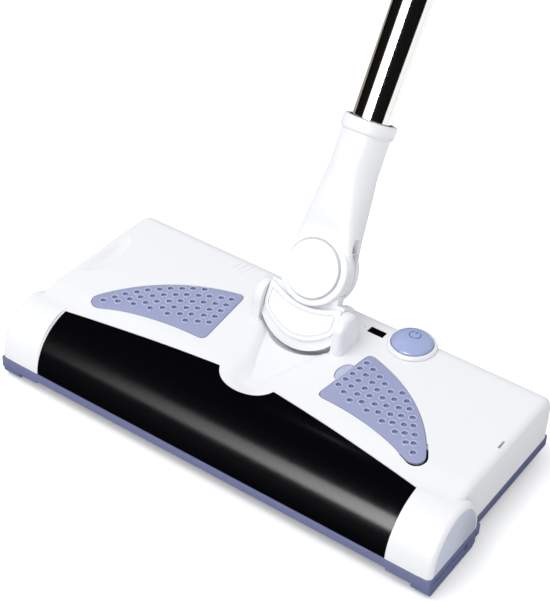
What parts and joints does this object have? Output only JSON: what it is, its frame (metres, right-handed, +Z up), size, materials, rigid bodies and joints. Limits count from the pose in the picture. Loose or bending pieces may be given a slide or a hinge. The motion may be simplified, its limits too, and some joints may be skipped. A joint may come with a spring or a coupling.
{
  "type": "carpet sweeper",
  "caption": "Cordless powered floor sweeper: low wide head with a brush window, a two-way neck and a telescopic chromed handle leaning back.",
  "frame": {"origin": "on the floor, under the middle of the whole sweeper's bounding box with the handle leaning back at rest", "axes": "+Z up; -Y towards the brush window; +X to the side of the power button"},
  "size_m": [0.289, 0.4156, 0.6163],
  "materials": {
    "white_plastic": "moulded, satin gloss",
    "lavender_plastic": "moulded, satin",
    "window": "polished, near black",
    "chrome": "polished tube",
    "black_plastic": "moulded",
    "grey_plastic": "moulded",
    "grip_foam": "soft matt grip",
    "rubber": "matt",
    "bristle": "nylon tufts",
    "steel": "plain steel",
    "cell": "shrink-wrapped cell",
    "board": "solder-masked board",
    "lamp": "clear coloured lamp",
    "lead": "insulated lead"
  },
  "bodies": {
    "head": {"base_frame": "lavender_plastic", "top_cover": "white_plastic", "brush_window": "window", "grip_pad_left": "lavender_plastic", "button_bezel": "white_plastic", "circuit_board": "board", "push_switch": "black_plastic", "indicator_lamp": "lamp", "indicator_lens": "window", "battery_box": "black_plastic", "battery_cell_1": "cell", "battery_cell_2": "cell", "motor": "steel", "motor_saddle": "grey_plastic", "drive_belt": "rubber", "roller_bearing_left": "grey_plastic", "roller_bearing_right": "grey_plastic", "rear_axle_left": "steel", "rear_axle_right": "steel", "front_axle_left": "steel", "front_axle_right": "steel", "scraper_blade": "rubber", "charge_socket": "black_plastic", "case_screw_1": "steel", "case_screw_2": "steel", "case_screw_3": "steel", "case_screw_4": "steel", "battery_lead": "lead", "motor_lead": "lead", "button_spring": "steel", "tilt_pin": "steel"},
    "lid": {"battery_lid": "lavender_plastic"},
    "button": {"power_button": "lavender_plastic"},
    "tray": {"dust_tray": "grey_plastic"},
    "brush": {"brush_core": "white_plastic", "brush_bristles": "bristle", "roller_shaft": "steel", "roller_pulley": "grey_plastic"},
    "rotor": {"motor_pulley": "grey_plastic"},
    "rear_wheel_left": {"rear_wheel_left": "rubber"},
    "rear_wheel_right": {"rear_wheel_right": "rubber"},
    "front_wheel_left": {"front_wheel_left": "rubber"},
    "front_wheel_right": {"front_wheel_right": "rubber"},
    "neck": {"knuckle": "white_plastic", "crescent_cover": "white_plastic"},
    "handle": {"handle_socket": "white_plastic", "swivel_bolt": "steel", "disc_cap": "white_plastic", "outer_tube": "chrome"},
    "lower_lock": {"lower_collar": "black_plastic"},
    "middle": {"middle_tube": "chrome", "middle_plug": "grey_plastic"},
    "upper_lock": {"upper_collar": "black_plastic"},
    "inner": {"inner_tube": "chrome", "inner_plug": "grey_plastic", "grip": "grip_foam", "grip_cap": "white_plastic"}
  },
  "joints": [
    {"name": "neck_tilt", "type": "hinge", "parent": "head", "child": "neck", "pos_m": [0, -0.11075, 0.059], "axis": [-1, 0, 0], "range_deg": [-29, 50]},
    {"name": "neck_swivel", "type": "hinge", "parent": "neck", "child": "handle", "pos_m": [0, -0.0988, 0.08039], "axis": [0, -0.8729, 0.4879], "range_deg": [-60, 60]},
    {"name": "lower_twist", "type": "hinge", "parent": "handle", "child": "lower_lock", "pos_m": [0, 0.11586, 0.46447], "axis": [0, 0.4879, 0.8729], "range_deg": [0, 90]},
    {"name": "middle_slide", "type": "slide", "parent": "handle", "child": "middle", "axis": [0, 0.4879, 0.8729], "range_m": [0, 0.25]},
    {"name": "upper_twist", "type": "hinge", "parent": "middle", "child": "upper_lock", "pos_m": [0, 0.13049, 0.49066], "axis": [0, 0.4879, 0.8729], "range_deg": [0, 90]},
    {"name": "inner_slide", "type": "slide", "parent": "middle", "child": "inner", "axis": [0, 0.4879, 0.8729], "range_m": [0, 0.25]},
    {"name": "brush_spin", "type": "hinge", "parent": "head", "child": "brush", "pos_m": [0, -0.17875, 0.0204], "axis": [1, 0, 0], "continuous": true},
    {"name": "rotor_spin", "type": "hinge", "parent": "head", "child": "rotor", "pos_m": [0, -0.09175, 0.022], "axis": [1, 0, 0], "continuous": true},
    {"name": "rear_wheel_left_spin", "type": "hinge", "parent": "head", "child": "rear_wheel_left", "pos_m": [-0.131, -0.08725, 0.0112], "axis": [1, 0, 0], "continuous": true},
    {"name": "rear_wheel_right_spin", "type": "hinge", "parent": "head", "child": "rear_wheel_right", "pos_m": [0.131, -0.08725, 0.0112], "axis": [1, 0, 0], "continuous": true},
    {"name": "front_wheel_left_spin", "type": "hinge", "parent": "head", "child": "front_wheel_left", "pos_m": [-0.13915, -0.16925, 0.007], "axis": [1, 0, 0], "continuous": true},
    {"name": "front_wheel_right_spin", "type": "hinge", "parent": "head", "child": "front_wheel_right", "pos_m": [0.13915, -0.16925, 0.007], "axis": [1, 0, 0], "continuous": true},
    {"name": "button_press", "type": "slide", "parent": "head", "child": "button", "axis": [0, 0, -1], "range_m": [0, 0.0018], "stiffness_N_per_m": 300, "deforming": ["button_spring"]},
    {"name": "lid_hinge", "type": "hinge", "parent": "head", "child": "lid", "pos_m": [0.1075, -0.16275, 0.0454], "axis": [0.448, 0.894, 0], "range_deg": [0, 78]},
    {"name": "tray_slide", "type": "slide", "parent": "head", "child": "tray", "axis": [-1, 0, 0], "range_m": [0, 0.12]}
  ],
  "couplings": [
    {"joint": "rotor_spin", "follows": "brush_spin", "ratio": 2}
  ]
}
